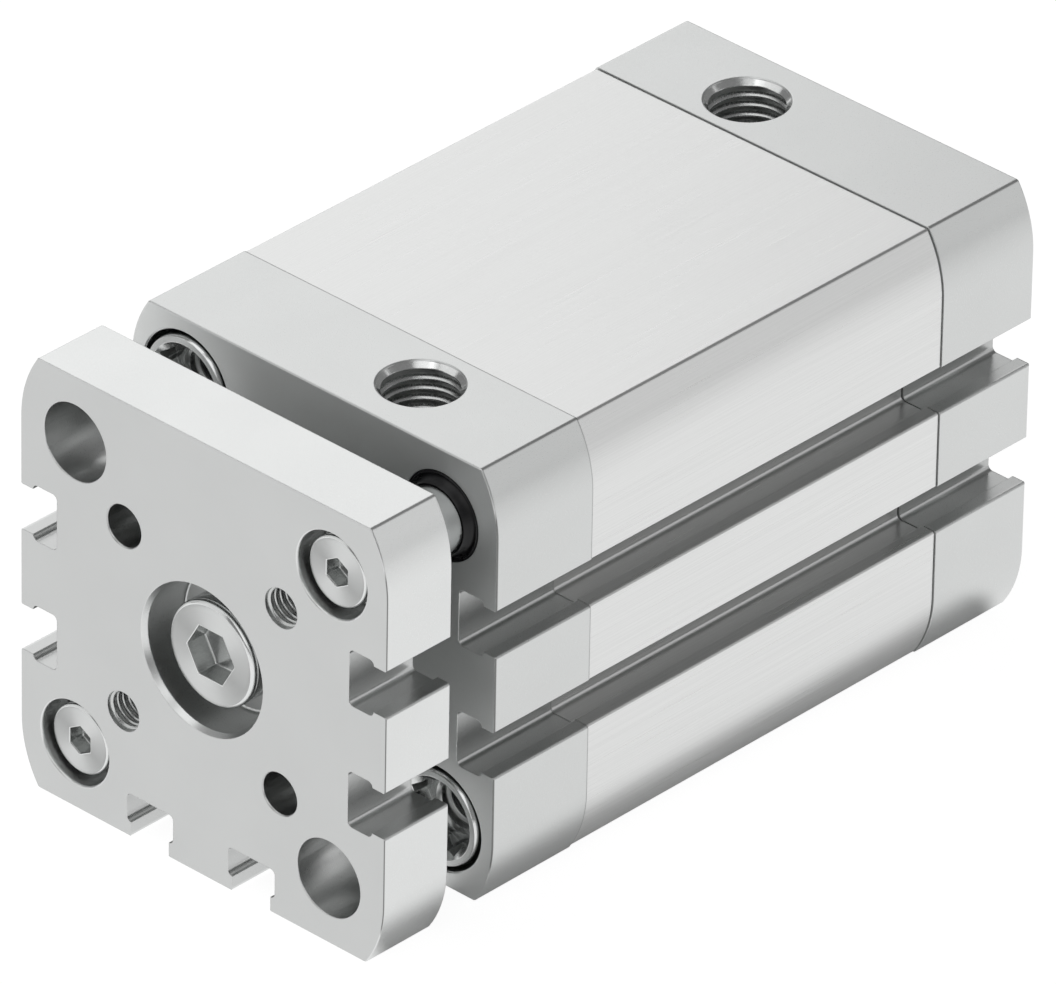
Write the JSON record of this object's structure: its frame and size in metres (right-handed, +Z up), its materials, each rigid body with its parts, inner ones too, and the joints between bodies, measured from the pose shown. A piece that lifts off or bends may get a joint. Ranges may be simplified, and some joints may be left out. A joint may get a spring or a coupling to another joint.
{
  "type": "guided pneumatic cylinder",
  "caption": "Square guided compact air cylinder with a yoke plate on its piston rod and guide rods, air ports on top and T slots along its sides.",
  "frame": {"origin": "centre of the rear cap's mounting face, at the mouth of its centring bore", "axes": "+Y along the cylinder from the yoke to the rear, +Z up to the side with the air ports, +X to the right seen from the front"},
  "size_m": [0.0542, 0.1018, 0.0542],
  "materials": {
    "barrel_aluminium": "drawn along the axis and clear anodised",
    "cap_aluminium": "fine satin, clear anodised",
    "plate_aluminium": "fine satin, clear anodised",
    "screw_steel": "turned and bright zinc plated",
    "rod_chrome": "ground and hard chromed",
    "bearing_bronze": "sintered",
    "seal_rubber": "smooth black",
    "bumper_rubber": "smooth black",
    "piston_aluminium": "turned",
    "magnet_plastic": "moulded"
  },
  "bodies": {
    "housing": {"barrel": "barrel_aluminium", "front_cap": "cap_aluminium", "rear_cap": "cap_aluminium", "front_collar_screw_upper": "screw_steel", "front_collar_screw_lower": "screw_steel", "rear_collar_screw_upper_right": "screw_steel", "rear_collar_screw_upper_left": "screw_steel", "rear_collar_screw_lower_right": "screw_steel", "rear_collar_screw_lower_left": "screw_steel", "front_cap_seal": "seal_rubber", "rear_cap_seal": "seal_rubber", "front_bumper": "bumper_rubber", "rear_bumper": "bumper_rubber", "rod_bush": "bearing_bronze", "rod_seal": "seal_rubber", "rod_wiper": "seal_rubber", "guide_bush_upper": "bearing_bronze", "guide_bush_lower": "bearing_bronze", "guide_wiper_upper": "seal_rubber", "guide_wiper_lower": "seal_rubber"},
    "carriage": {"yoke_plate": "plate_aluminium", "piston_rod": "rod_chrome", "guide_rod_upper": "rod_chrome", "guide_rod_lower": "rod_chrome", "yoke_screw": "screw_steel", "guide_screw_upper": "screw_steel", "guide_screw_lower": "screw_steel", "piston": "piston_aluminium", "piston_seal_front": "seal_rubber", "piston_seal_rear": "seal_rubber", "magnet_ring": "magnet_plastic", "piston_screw": "screw_steel"}
  },
  "joints": [
    {"name": "rod_slide", "type": "slide", "parent": "housing", "child": "carriage", "axis": [0, -1, 0], "range_m": [0, 0.04]}
  ]
}
